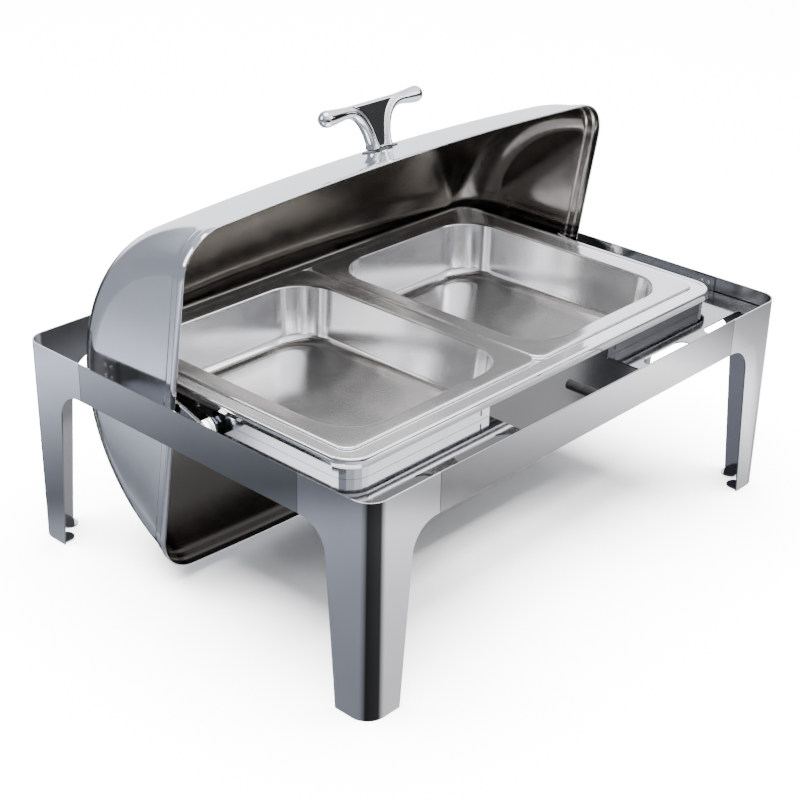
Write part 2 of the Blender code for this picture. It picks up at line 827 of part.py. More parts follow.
def make_pivots():
    """A bracket, shaft, washer and cap nut at each end, which the lid's lugs turn on."""
    steel = material("support_steel", (0.76, 0.77, 0.80), 0.14, 1.0)
    chrome = material("chrome", (0.78, 0.79, 0.80), 0.05, 1.0)
    nylon = material("white_nylon", (0.80, 0.80, 0.78), 0.45, 0.0)
    at = Matrix.Translation((0, PIVOT_Y, PIVOT_Z))
    lug_inner = lug_outer() - LUG_T
    outer = BRACKET_X + BRACKET_SHEET
    bracket = piece(bracket_plate(), "pivot_bracket_left", steel)
    mirrored(bracket, "pivot_bracket_right", -1, 1)

    washer = turned(
        "washer",
        [
            (outer + GAP, 0.0),
            (outer + GAP, SHAFT_HEAD_R),
            (lug_inner - GAP, SHAFT_HEAD_R),
            (lug_inner - GAP, 0.0),
        ],
        20,
    )
    bore = rod("bore", SHAFT_R + GAP, (outer - 0.01, 0, 0), (lug_inner + 0.01, 0, 0), 20)
    washer = placed(cut(washer, bore), at @ Matrix.Diagonal((-1, 1, 1, 1)))
    washer = piece(washer, "pivot_bush_left", nylon, (0.0, PIVOT_Y, PIVOT_Z))
    mirrored(washer, "pivot_bush_right", -1, 1)

    nut_inner = WATER_W / 2 - SUPPORT_INSET + GAP
    nut_outer = BRACKET_X - GAP
    shaft = turned(
        "shaft",
        [
            (nut_outer - 0.0030, 0.0),
            (nut_outer - 0.0030, SHAFT_R - 0.0005),
            (nut_outer - 0.0025, SHAFT_R),
            (lug_outer() + GAP, SHAFT_R),
            (lug_outer() + GAP, SHAFT_HEAD_R),
            (lug_outer() + 0.0020, 0.0072),
            (lug_outer() + 0.0030, 0.0050),
            (lug_outer() + 0.0033, 0.0),
        ],
        24,
    )
    placed(shaft, at @ Matrix.Diagonal((-1, 1, 1, 1)))
    shaft = piece(shaft, "pivot_shaft_left", chrome, (0.0, PIVOT_Y, PIVOT_Z))
    mirrored(shaft, "pivot_shaft_right", -1, 1)

    nut = turned(
        "nut",
        [
            (nut_inner, 0.0),
            (nut_inner, 0.0055),
            (nut_inner + 0.0012, 0.0070),
            (nut_outer, 0.0070),
            (nut_outer, 0.0),
        ],
        6,
    )
    hole = rod("hole", SHAFT_R + GAP, (nut_outer - 0.0030 - GAP, 0, 0), (nut_outer + 0.01, 0, 0), 24)
    nut = placed(cut(nut, hole), at @ Matrix.Diagonal((-1, 1, 1, 1)))
    nut = piece(nut, "pivot_nut_left", chrome, (0.0, PIVOT_Y, PIVOT_Z))
    mirrored(nut, "pivot_nut_right", -1, 1)


def bracket_plate():
    """An upright plate with the shaft's hole, a foot to the support and a stop under the open lid's lug."""
    foot_z = CHEEK_LOW + 0.0005
    rise = 0.0130
    plate = outline(
        "bracket",
        [
            (-BRACKET_HALF, foot_z - PIVOT_Z),
            (BRACKET_HALF + 0.004, foot_z - PIVOT_Z),
            (BRACKET_HALF + 0.004, -0.0100),
            (BRACKET_HALF - 0.002, 0.0),
            (0.0, 0.0, rise, 30, 150),
            (-BRACKET_HALF, 0.0),
        ],
        BRACKET_SHEET,
        6,
    )
    turn = Matrix(((0, 0, 1, 0), (1, 0, 0, 0), (0, 1, 0, 0), (0, 0, 0, 1)))
    middle = -(BRACKET_X + BRACKET_SHEET / 2)
    placed(plate, Matrix.Translation((middle, PIVOT_Y, PIVOT_Z)) @ turn)
    start = (-BRACKET_X - 0.01, PIVOT_Y, PIVOT_Z)
    end = (-BRACKET_X + 0.01, PIVOT_Y, PIVOT_Z)
    bore = rod("bore", SHAFT_R + GAP, start, end)
    plate = cut(plate, bore)
    wall_x = WATER_W / 2 - SUPPORT_INSET + GAP
    foot = box(
        "foot",
        (-BRACKET_X - BRACKET_SHEET, PIVOT_Y - BRACKET_HALF, foot_z),
        (-wall_x, PIVOT_Y + BRACKET_HALF + 0.004, foot_z + BRACKET_SHEET),
    )
    stop = box(
        "stop",
        (-lug_outer() + 0.0005, 0.0125, -LUG_R - 0.0080),
        (-BRACKET_X - 0.0005, 0.0175, -LUG_R - 0.0029),
    )
    placed(stop, lid_frame())
    return join(plate, foot, stop)


def build():
    global PARTS
    global CUTTERS
    clear_scene()
    PARTS = new_collection(NAME)
    CUTTERS = new_collection("cutters")
    make_frame()
    make_bumper()
    make_pans()
    make_supports()
    make_lid()
    make_pivots()


build()
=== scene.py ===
"""Looks of the roll top chafer: fine surfaces, polished metal, studio floor, lights and camera."""

import json
import math

import bmesh
import bpy
from mathutils import Matrix, Vector


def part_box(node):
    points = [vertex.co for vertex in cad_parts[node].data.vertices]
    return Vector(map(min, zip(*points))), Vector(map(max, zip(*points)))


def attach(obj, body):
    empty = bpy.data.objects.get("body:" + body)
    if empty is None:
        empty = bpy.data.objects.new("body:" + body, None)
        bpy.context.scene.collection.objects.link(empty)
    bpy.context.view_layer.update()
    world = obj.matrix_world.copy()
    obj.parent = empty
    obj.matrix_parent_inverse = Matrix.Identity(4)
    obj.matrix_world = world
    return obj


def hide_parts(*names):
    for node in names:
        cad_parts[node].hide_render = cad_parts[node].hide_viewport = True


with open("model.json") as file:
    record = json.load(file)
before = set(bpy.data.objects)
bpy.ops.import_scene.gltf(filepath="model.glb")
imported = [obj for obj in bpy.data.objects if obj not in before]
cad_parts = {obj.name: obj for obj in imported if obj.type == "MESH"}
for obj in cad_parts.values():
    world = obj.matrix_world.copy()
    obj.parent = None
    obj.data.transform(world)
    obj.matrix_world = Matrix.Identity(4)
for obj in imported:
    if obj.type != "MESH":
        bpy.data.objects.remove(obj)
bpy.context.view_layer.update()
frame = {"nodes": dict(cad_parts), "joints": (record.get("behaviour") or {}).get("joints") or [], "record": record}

# Mesh code.
MERGE_DISTANCE = 1e-6
SHARP_ANGLE = 40.0
EDGE_ANGLE = 60.0

# Frame and legs.
FRAME_HALF_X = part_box("rail_right")[1][0]
FRAME_HALF_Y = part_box("rail_back")[1][1]
FRAME_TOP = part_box("rail_front")[1][2]
RAIL_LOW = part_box("rail_front")[0][2]
FRAME_SHEET = 0.0015
FRAME_ROUND = 0.020
FLANGE = 0.087
LEG_FOOT_W = 0.041
LEG_WAIST_W = 0.053
ARCH_R = 0.030
TAB_W = 0.018
TAB_REACH = 0.019
TAB_START = 0.0205
LEG_EDGE_ROUND = 0.0003
# Rows of a leg below its arch and of the arch, and sides of its corner and of a tab's end.
LEG_STEPS = 8
ARCH_STEPS = 16
CORNER_SIDES = 20
TAB_SIDES = 16
# A step too small to see, which keeps the arch's last row apart from the full flange.
HAIR = 1e-5

# Spot welds: their places across and up a joint plate, and one weld as (radius, rise) rings.
WELD_COLUMNS = (0.30, 0.62)
WELD_ROWS = (0.2, 0.5, 0.8)
WELD_SIDES = 20
WELD_PROFILE = (
    (0.0022, -0.0002),
    (0.0019, 0.00022),
    (0.0015, 0.00026),
    (0.0011, 0.00008),
    (0.0, 0.00002),
)

# Pans. A profile's corners are (distance in, depth below the rim's top, rounding).
# The foot of a pan's wall, and a point on its floor, are (distance in, rounding).
PAN_SHEET = 0.0010
PAN_CORNER_SIDES = 16
FILLET_STEPS = 6
WATER_RIM_ROUND = 0.026
WATER_RIM = (
    (0.0, 0.0095, 0),
    (0.0, 0.0, 0.0016),
    (0.0048, 0.0, 0.0006),
    (0.0054, 0.0008, 0.0006),
    (0.0080, 0.0008, 0),
)
WATER_LEDGE_X = 0.2666
WATER_LEDGE_Y = 0.1635
WATER_LEDGE_WIDTH = 0.0145
WATER_LEDGE = (
    (-0.0016, 0.0008, 0),
    (0.0, 0.0008, 0.0006),
    (0.0004, 0.0030, 0.0005),
    (WATER_LEDGE_WIDTH, 0.0030, 0.0022),
)
WATER_FOOT = ((0.0215, 0.0110), (0.040, 0))
# Corner radius at the ledge's outer edge, and how much it grows across the ledge.
WATER_CORNER = 0.015
WATER_CORNER_GROWTH = 0.019
FOOD_RIM_ROUND = 0.013
FOOD_RIM = ((0.0, 0.0039, 0), (0.0, 0.0, 0.0013), (0.0060, 0.0, 0))
FOOD_RIM_X = 0.0205
FOOD_RIM_Y = 0.0185
FOOD_LIP = ((-0.004, 0.0, 0), (0.0, 0.0, 0.0026))
FOOD_FOOT = ((0.0065, 0.0130), (0.040, 0))
# Corner radius at the mouth, and how much of the distance in comes off it.
FOOD_CORNER = 0.046
FOOD_CORNER_TAPER = 0.55

# Lid, in its own frame: X along the shafts, Y into the open lid, Z up its rim.
PIVOT = Vector(next(j for j in frame["joints"] if j["name"] == "lid_roll")["pos_m"])
LID_LEAN = math.radians(8.7)
LID_R_MID = 0.197
LID_R_END = 0.1885
LID_HALF = 0.2995
LID_FILLET = 0.038
LID_SHEET = 0.0012
# Rows from the lid's middle to its fillet, rows of the fillet, and columns between the two bands.
LID_BOW_STEPS = 20
LID_FILLET_STEPS = 18
LID_COLUMNS = 92
RIM_OFFSET = 0.028
LID_FRAME = Matrix.Translation(PIVOT) @ Matrix.Rotation(LID_LEAN, 4, "X")
# The stepped band along the rim: distance in from the rim, and height over the lid's surface.
RIM_STEPS = (
    (0.0, 0.0026),
    (0.0008, 0.0032),
    (0.0068, 0.0032),
    (0.0078, 0.0029),
    (0.0088, 0.0018),
    (0.0098, 0.0015),
    (0.0152, 0.0015),
    (0.0162, 0.0012),
    (0.0174, 0.0003),
    (0.0186, 0.0),
)

# Handle, in its own frame: X along its bar, Z out from the lid, HANDLE_BACK behind the rim.
HANDLE_BACK = 0.084
# The left arm's middle line, from the knob to the foot:
# x, height, radius in the handle's plane, radius across it.
ARM = (
    (-0.0634, 0.0430, 0.0086, 0.0086),
    (-0.0560, 0.0430, 0.0080, 0.0082),
    (-0.0460, 0.0432, 0.0068, 0.0074),
    (-0.0360, 0.0431, 0.0061, 0.0070),
    (-0.0270, 0.0405, 0.0058, 0.0070),
    (-0.0195, 0.0340, 0.0055, 0.0070),
    (-0.0145, 0.0250, 0.0051, 0.0070),
    (-0.0115, 0.0150, 0.0048, 0.0072),
    (-0.0100, 0.0070, 0.0050, 0.0078),
    (-0.0095, 0.0020, 0.0062, 0.0092),
)
ARM_STEPS = 8
ARM_SIDES = 24
KNOB_SIDES = 32
KNOB_RINGS = 20
WEB_HALF = 0.0046
WEB_OUTLINE = (
    (-0.036, 0.0488),
    (0.036, 0.0488),
    (0.020, 0.0340),
    (0.012, 0.0140),
    (0.0095, 0.0016),
    (-0.0095, 0.0016),
    (-0.012, 0.0140),
    (-0.020, 0.0340),
)
CAST_VOXEL = 0.0008
CAST_SMOOTHING = 0.5
CAST_SMOOTH_PASSES = 8

# Noises of the looks: scale, detail, roughness. Nearly all of a noise's values lie in NOISE_RANGE.
NOISE_RANGE = (0.3, 0.7)
CLOUD_NOISE = (14.0, 4.0, 0.55)
SMEAR_NOISE = (38.0, 5.0, 0.62)
HAIRLINE_NOISE = (1.0, 2.0, 0.6)
WAVE_NOISE = (7.0, 1.0, 0.4)
# Scale of the hairlines along X, Y and Z on sheet, and on small turned pieces.
HAIRLINES = (60.0, 900.0, 900.0)
TURNED_HAIRLINES = (900.0, 900.0, 120.0)
HAIRLINE_DEPTH = 0.0002
WAVE_DEPTH = 0.004
SKIN_DEPTH = 0.0003
# How much darker the clouds are, and how much of the smear's roughness the hairlines add.
CLOUD_SHADE = 0.93
HAIRLINE_SHARE = 0.6
MATTE_SPREAD = 0.15
MATTE_SPECULAR = 0.25
# Inside faces: the colour of the painted shade on them, added roughness for their unpolished finish, and how far a
# face has to look inward.
INSIDE_SHADE_COLOUR = (0.27, 0.27, 0.28, 1.0)
RAW_ROUGHNESS = 0.16
INWARD_RANGE = (-0.08, -0.02)


def clean(bm):
    """Merges doubled points and drops empty faces and loose points."""
    bmesh.ops.remove_doubles(bm, verts=bm.verts, dist=MERGE_DISTANCE)
    bmesh.ops.dissolve_degenerate(bm, edges=bm.edges, dist=MERGE_DISTANCE)
    loose = [v for v in bm.verts if not v.link_faces]
    bmesh.ops.delete(bm, geom=loose, context="VERTS")


def finished(name, bm, look, body, sharp=SHARP_ANGLE):
    """Files a mesh as a piece that rides on a body."""
    data = bpy.data.meshes.new(name)
    bm.to_mesh(data)
    bm.free()
    data.materials.append(look)
    data.shade_smooth()
    data.set_sharp_from_angle(angle=math.radians(sharp))
    obj = bpy.data.objects.new(name, data)
    bpy.context.scene.collection.objects.link(obj)
    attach(obj, body)
    return obj


def thicken(obj, thickness, bevel=0.0):
    """Gives an open surface its sheet thickness, behind the side its faces point to."""
    sheet = obj.modifiers.new("sheet", "SOLIDIFY")
    sheet.thickness = thickness
    sheet.offset = -1.0
    sheet.use_even_offset = True
    if bevel:
        edge = obj.modifiers.new("edge", "BEVEL")
        edge.width = bevel
        edge.segments = 2
        edge.limit_method = "ANGLE"
        edge.angle_limit = math.radians(EDGE_ANGLE)
        edge.harden_normals = True
    return obj


def grid(bm, rows):
    """Faces between rows of points of equal length."""
    made = [[bm.verts.new(point) for point in row] for row in rows]
    for first, second in zip(made, made[1:]):
        for k in range(len(first) - 1):
            bm.faces.new((first[k], first[k + 1], second[k + 1], second[k]))


def join_loops(bm, first, second, flipped=False):
    """A ring of faces between two closed loops of equal length."""
    for k in range(len(first)):
        face = (first[k - 1], first[k], second[k], second[k - 1])
        bm.faces.new(face[::-1] if flipped else face)


def arc(centre_x, centre_y, radius, start, end, sides):
    """Points of an arc, from one angle to another in degrees."""
    for k in range(sides + 1):
        angle = math.radians(start + (end - start) * k / sides)
        yield (centre_x + radius * math.cos(angle), centre_y + radius * math.sin(angle))


# Materials.


def new_material(name):
    """A new material, its node tree and its shader."""
    look = bpy.data.materials.new(name)
    look.use_nodes = True
    tree = look.node_tree
    return look, tree, tree.nodes["Principled BSDF"]


def object_coordinates(tree, scale=(1.0, 1.0, 1.0)):
    """Places on the object in metres, times a scale."""
    where = tree.nodes.new("ShaderNodeTexCoord")
    mapping = tree.nodes.new("ShaderNodeMapping")
    mapping.inputs["Scale"].default_value = scale
    tree.links.new(where.outputs["Object"], mapping.inputs["Vector"])
    return mapping.outputs["Vector"]


def noise(tree, vector, scale, detail=3.0, roughness=0.5):
    """A noise's value at a place."""
    made = tree.nodes.new("ShaderNodeTexNoise")
    made.inputs["Scale"].default_value = scale
    made.inputs["Detail"].default_value = detail
    made.inputs["Roughness"].default_value = roughness
    tree.links.new(vector, made.inputs["Vector"])
    return made.outputs["Fac"]


def spread(tree, value, low, high, start=NOISE_RANGE[0], end=NOISE_RANGE[1]):
    """Maps a value's range, from start to end, onto low to high."""
    made = tree.nodes.new("ShaderNodeMapRange")
    made.inputs["From Min"].default_value = start
    made.inputs["From Max"].default_value = end
    made.inputs["To Min"].default_value = low
    made.inputs["To Max"].default_value = high
    tree.links.new(value, made.inputs["Value"])
    return made.outputs["Result"]


def added(tree, first, second, operation="ADD"):
    """Two values added, or joined by another operation."""
    made = tree.nodes.new("ShaderNodeMath")
    made.operation = operation
    tree.links.new(first, made.inputs[0])
    tree.links.new(second, made.inputs[1])
    return made.outputs["Value"]


def tinted(tree, value, dark, light):
    """A colour between two, by a value in a noise's range."""
    ramp = tree.nodes.new("ShaderNodeValToRGB")
    ends = ramp.color_ramp.elements
    for end, position, colour in zip(ends, NOISE_RANGE, (dark, light)):
        end.position = position
        end.color = (*colour, 1.0)
    tree.links.new(value, ramp.inputs["Fac"])
    return ramp.outputs["Color"]


def bumps(tree, layers):
    """Bump nodes in a chain, from (height, strength, distance) layers."""
    normal = None
    for height, strength, distance in layers:
        made = tree.nodes.new("ShaderNodeBump")
        made.inputs["Strength"].default_value = strength
        made.inputs["Distance"].default_value = distance
        tree.links.new(height, made.inputs["Height"])
        if normal:
            tree.links.new(normal, made.inputs["Normal"])
        normal = made.outputs["Normal"]
    return normal


def facing_in(tree):
    """One on faces that look toward the middle of the frame, which get painted shade and are left unpolished."""
    where = tree.nodes.new("ShaderNodeTexCoord")
    flat = tree.nodes.new("ShaderNodeVectorMath")
    flat.operation = "MULTIPLY"
    flat.inputs[1].default_value = (1.0, 1.0, 0.0)
    product = tree.nodes.new("ShaderNodeVectorMath")
    product.operation = "DOT_PRODUCT"
    tree.links.new(where.outputs["Object"], flat.inputs[0])
    tree.links.new(flat.outputs["Vector"], product.inputs[0])
    tree.links.new(where.outputs["Normal"], product.inputs[1])
    return spread(tree, product.outputs["Value"], 1.0, 0.0, *INWARD_RANGE)


def paint_inside_shade(tree, shader):
    """Paints shade on the inside faces and dulls them."""
    inside = facing_in(tree)
    colour = tree.nodes.new("ShaderNodeMix")
    colour.data_type = "RGBA"
    # The inside faces' colour is painted shade.
    colour.inputs["B"].default_value = INSIDE_SHADE_COLOUR
    outside = shader.inputs["Base Color"].links[0].from_socket
    tree.links.new(outside, colour.inputs["A"])
    tree.links.new(inside, colour.inputs["Factor"])
    tree.links.new(colour.outputs["Result"], shader.inputs["Base Color"])
    polish = shader.inputs["Roughness"].links[0].from_socket
    dull = added(tree, polish, spread(tree, inside, 0.0, RAW_ROUGHNESS, 0.0, 1.0))
    tree.links.new(dull, shader.inputs["Roughness"])


def polished(
    name, colour, rough, smear, wave=0.0, grain=0.0, along=HAIRLINES, shade_inside=False, haze=0.0
):
    """Polished steel: faint clouds and smears, hairline polishing marks and a slow waviness.

    wave and grain are the strengths of the waviness and of the hairlines, and haze is the share
    that doesn't shine as metal.
    """
    look, tree, shader = new_material(name)
    shader.inputs["Metallic"].default_value = 1.0 - haze
    plain = object_coordinates(tree)
    clouds = noise(tree, plain, *CLOUD_NOISE)
    dark = tuple(c * CLOUD_SHADE for c in colour)
    tree.links.new(tinted(tree, clouds, dark, colour), shader.inputs["Base Color"])
    smears = noise(tree, plain, *SMEAR_NOISE)
    lines = noise(tree, object_coordinates(tree, along), *HAIRLINE_NOISE)
    smear_roughness = spread(tree, smears, rough, rough + smear)
    line_roughness = spread(tree, lines, 0.0, smear * HAIRLINE_SHARE)
    roughness = added(tree, smear_roughness, line_roughness)
    tree.links.new(roughness, shader.inputs["Roughness"])
    layers = []
    if wave:
        layers.append((noise(tree, plain, *WAVE_NOISE), wave, WAVE_DEPTH))
    if grain:
        layers.append((lines, grain, HAIRLINE_DEPTH))
    if layers:
        tree.links.new(bumps(tree, layers), shader.inputs["Normal"])
    # Painted shade on the faces that look inward, and a rougher finish there.
    if shade_inside:
        paint_inside_shade(tree, shader)
    return look


def matte(name, dark, light, rough, scale, depth):
    """Rubber or plastic: mottled, with a fine moulded skin."""
    look, tree, shader = new_material(name)
    plain = object_coordinates(tree)
    fine = noise(tree, plain, scale, 4.0, 0.6)
    coarse = noise(tree, plain, scale * 0.2)
    tree.links.new(tinted(tree, coarse, dark, light), shader.inputs["Base Color"])
    roughness = spread(tree, fine, rough, rough + MATTE_SPREAD)
    tree.links.new(roughness, shader.inputs["Roughness"])
    tree.links.new(bumps(tree, [(fine, depth, SKIN_DEPTH)]), shader.inputs["Normal"])
    shader.inputs["Specular IOR Level"].default_value = MATTE_SPECULAR
    return look


# The strengths that the mirror-polished frame sheets share.
MIRROR = {"rough": 0.03, "smear": 0.02, "wave": 0.004, "grain": 0.01, "shade_inside": True}
LEG_STEEL = polished("leg_mirror_steel", (0.76, 0.765, 0.785), **MIRROR)
# The rails and other frame nodes get a darker copy of the legs' steel: painted shade.
RAIL_SHADE_STEEL = polished("rail_mirror_steel_painted_shade", (0.43, 0.43, 0.435), **MIRROR)
LID_STEEL = polished(
    "lid_outside_steel",
    (0.88, 0.885, 0.91),
    rough=0.07,
    smear=0.03,
    wave=0.02,
    grain=0.01,
    haze=0.006,
)
# The lid's inside: the same steel, darkened with painted shade.
LID_INSIDE_SHADE = polished(
    "lid_inside_painted_shade", (0.33, 0.31, 0.285), rough=0.10, smear=0.05, wave=0.05, grain=0.02
)
PAN_STEEL = polished(
    "water_pan_steel",
    (0.88, 0.885, 0.90),
    rough=0.07,
    smear=0.03,
    wave=0.006,
    grain=0.01,
    haze=0.042,
)
# The pans' underside: the same steel darkened, painted shade under the pans.
PAN_UNDERSIDE_SHADE = polished(
    "pan_underside_painted_shade", (0.24, 0.24, 0.245), rough=0.16, smear=0.02, wave=0.006
)
FOOD_STEEL = polished(
    "food_pan_steel",
    (0.88, 0.88, 0.89),
    rough=0.12,
    smear=0.04,
    wave=0.006,
    grain=0.02,
    haze=0.02,
)
COLLAR_STEEL = polished(
    "collar_steel", (0.72, 0.73, 0.76), rough=0.08, smear=0.03, wave=0.008, grain=0.02
)
# A darker copy of the collar steel for the shelves: painted shade.
SHELF_SHADE_STEEL = polished(
    "shelf_steel_painted_shade", (0.52, 0.525, 0.54), rough=0.06, smear=0.03, wave=0.01, grain=0.02
)
CHROME = polished("cast_chrome", (0.80, 0.815, 0.84), rough=0.03, smear=0.03, wave=0.02)
FASTENER = polished(
    "fastener_steel_look",
    (0.70, 0.71, 0.73),
    rough=0.16,
    smear=0.10,
    grain=0.1,
    along=TURNED_HAIRLINES,
)
RUBBER = matte(
    "black_rubber_look",
    (0.0015, 0.0015, 0.0017),
    (0.004, 0.004, 0.0043),
    rough=0.45,
    scale=900.0,
    depth=0.25,
)
GASKET = matte(
    "gasket_look", (0.02, 0.02, 0.022), (0.04, 0.04, 0.044), rough=0.5, scale=900.0, depth=0.2
)
NYLON = matte(
    "white_nylon_look", (0.70, 0.70, 0.68), (0.80, 0.80, 0.78), rough=0.35, scale=600.0, depth=0.1
)

LOOK_OF_SLOT = {
    "frame_steel": RAIL_SHADE_STEEL,
    "support_steel": SHELF_SHADE_STEEL,
    "pan_steel": PAN_STEEL,
    "food_pan_steel": FOOD_STEEL,
    "lid_steel": LID_STEEL,
    "fastener_steel": FASTENER,
    "chrome": CHROME,
    "black_rubber": RUBBER,
    "gasket": GASKET,
    "white_nylon": NYLON,
}


def dress_nodes():
    """Each CAD node gets the look of its material slot, and the collars a lighter one of their own; the shelves'
    darker steel is painted shade.
    """
    for entry in frame["record"]["subparts"]:
        node = frame["nodes"][entry["node"]]
        look = LOOK_OF_SLOT[entry["material_slot"]]
        if entry["node"].startswith("pan_collar_"):
            look = COLLAR_STEEL
        for slot in node.material_slots:
            slot.material = look


# Legs.


def leg_half_width(z):
    """How far a flange reaches from the corner at a height."""
    waist_z = RAIL_LOW - ARCH_R
    if z <= waist_z:
        return LEG_FOOT_W + (LEG_WAIST_W - LEG_FOOT_W) * z / waist_z
    if z >= RAIL_LOW:
        return FLANGE
    rise = z - waist_z
    return LEG_WAIST_W + ARCH_R - math.sqrt(max(0.0, ARCH_R**2 - rise**2))


def corner_path(reach):
    """Plan points of an L round the front left corner, with a reach along both sides."""
    x = -FRAME_HALF_X
    y = -FRAME_HALF_Y
    path = [(x + reach, y), (x + (reach + FRAME_ROUND) / 2, y)]
    path += arc(x + FRAME_ROUND, y + FRAME_ROUND, FRAME_ROUND, 270, 180, CORNER_SIDES)
    path += [(x, y + (reach + FRAME_ROUND) / 2), (x, y + reach)]
    return path


def leg_rows():
    """Rows of the front left leg, from its foot to the rail's top."""
    waist_z = RAIL_LOW - ARCH_R
    levels = [0.0, 0.0006]
    levels += [waist_z * k / LEG_STEPS for k in range(1, LEG_STEPS + 1)]
    for k in range(1, ARCH_STEPS + 1):
        levels.append(waist_z + ARCH_R * math.sin(math.pi / 2 * k / ARCH_STEPS))
    rows = [[(x, y, z) for x, y in corner_path(leg_half_width(z - HAIR))] for z in levels]
    rows.append([(x, y, RAIL_LOW + HAIR) for x, y in corner_path(FLANGE)])
    rows.append([(x, y, FRAME_TOP) for x, y in corner_path(FLANGE)])
    return rows


def make_leg(name, node, sign_x, sign_y):
    """The front left leg, mirrored to its corner."""
    bm = bmesh.new()
    rows = leg_rows()
    grid(bm, [row[::-1] for row in rows])
    for turned in (False, True):
        add_tab(bm, turned)
    clean(bm)
    bm.transform(Matrix.Diagonal((sign_x, sign_y, 1.0, 1.0)))
    if sign_x * sign_y < 0:
        bmesh.ops.reverse_faces(bm, faces=bm.faces)
    leg = finished(name, bm, LEG_STEEL, "frame")
    thicken(leg, FRAME_SHEET, LEG_EDGE_ROUND)
    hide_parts(node)


def add_tab(bm, turned):
    """The upper side of a round-ended foot tab, bent in from a flange."""
    half = TAB_W / 2
    rim = [(-half, FRAME_SHEET), (half, FRAME_SHEET)]
    rim += arc(0.0, TAB_REACH - half, half, 0, 180, TAB_SIDES)
    middle = TAB_START + half
    ring = []
    for x, y in rim:
        if turned:
            point = (-FRAME_HALF_X + y, -FRAME_HALF_Y + middle - x, FRAME_SHEET)
        else:
            point = (-FRAME_HALF_X + middle + x, -FRAME_HALF_Y + y, FRAME_SHEET)
        ring.append(bm.verts.new(point))
    bm.faces.new(ring)


def make_legs():
    for level, sign_y in (("front", 1), ("back", -1)):
        for side, sign_x in (("left", 1), ("right", -1)):
            make_leg(f"leg_sheet_{level}_{side}", f"leg_{level}_{side}", sign_x, sign_y)


def make_welds():
    """The spot welds that show inside each joint plate, two columns of three."""
    bm = bmesh.new()
    plates = [n for n in frame["nodes"] if n.startswith("joint_plate_")]
    for node in sorted(plates):
        low, high = (Vector(corner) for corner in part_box(node))
        along = 0 if high.x - low.x > high.y - low.y else 1
        across = 1 - along
        inner = high[across] if low[across] < 0 else low[across]
        facing = -1.0 if inner > 0 else 1.0
        for column in WELD_COLUMNS:
            for row in WELD_ROWS:
                centre = Vector((0, 0, low.z + (high.z - low.z) * row))
                centre[along] = low[along] + (high[along] - low[along]) * column
                centre[across] = inner
                add_weld(bm, centre, across, facing)
    clean(bm)
    welds = finished("spot_welds", bm, FASTENER, "frame")


def add_weld(bm, centre, across, facing):
    """A shallow pressed dot with a raised ring."""
    along = 1 - across
    before = None
    for radius, rise in WELD_PROFILE:
        ring = []
        for k in range(WELD_SIDES):
            angle = 2 * math.pi * k / WELD_SIDES
            point = centre.copy()
            point[along] += radius * math.cos(angle)
            point.z += radius * math.sin(angle)
            point[across] += facing * rise
            ring.append(bm.verts.new(point))
        if before:
            join_loops(bm, before, ring, flipped=(facing > 0) != (across == 1))
        before = ring


# Pans.


def rounded_loop(half_x, half_y, radius, sides):
    """Points of a rectangle with rounded corners."""
    corners = ((1, 1, 0), (-1, 1, 90), (-1, -1, 180), (1, -1, 270))
    for sign_x, sign_y, start in corners:
        centre_x = sign_x * (half_x - radius)
        centre_y = sign_y * (half_y - radius)
        yield from arc(centre_x, centre_y, radius, start, start + 90, sides)


def fillet(first, corner, second, radius, steps):
    """Rounds the corner of an (inset, z) profile."""
    first = Vector(first)
    corner = Vector(corner)
    second = Vector(second)
    to_first = (first - corner).normalized()
    to_second = (second - corner).normalized()
    half_angle = to_first.angle(to_second) / 2
    reach = radius / math.tan(half_angle)
    start = corner + to_first * reach
    end = corner + to_second * reach
    centre = corner + (to_first + to_second).normalized() * (radius / math.sin(half_angle))
    start_arm = start - centre
    end_arm = end - centre
    turn = start_arm.angle(end_arm)
    for k in range(steps + 1):
        share = k / steps
        weight_a = math.sin((1 - share) * turn) / math.sin(turn)
        weight_b = math.sin(share * turn) / math.sin(turn)
        yield tuple(centre + start_arm * weight_a + end_arm * weight_b)


def smooth_profile(points):
    """An (inset, z) profile from (inset, z, rounding) corners."""
    made = [points[0][:2]]
    for before, here, after in zip(points, points[1:], points[2:]):
        made += fillet(before[:2], here[:2], after[:2], here[2], FILLET_STEPS)
    made.append(points[-1][:2])
    return made


def pan_profile(top, floor, corners, foot=()):
    """A profile from corners below the rim's top, then the foot of the wall on the floor."""
    points = [(inset, top - depth, rounding) for inset, depth, rounding in corners]
    points += [(inset, floor, rounding) for inset, rounding in foot]
    return smooth_profile(points)


def add_pan(bm, rows, centre_x=0.0):
    """An open drawn shell through rows of (reach in x, reach in y, corner radius, z)."""
    before = None
    for reach_x, reach_y, radius, z in rows:
        points = rounded_loop(reach_x, reach_y, radius, PAN_CORNER_SIDES)
        loop = [bm.verts.new((centre_x + x, y, z)) for x, y in points]
        if before:
            join_loops(bm, before, loop)
        before = loop
    bm.faces.new(before)


def finished_pan(name, bm, look, body):
    """Files a pan, with its thickness and a rougher underside darkened with painted shade."""
    clean(bm)
    pan = finished(name, bm, look, body)
    pan.data.materials.append(PAN_UNDERSIDE_SHADE)
    thicken(pan, PAN_SHEET).modifiers["sheet"].material_offset = 1
    return pan


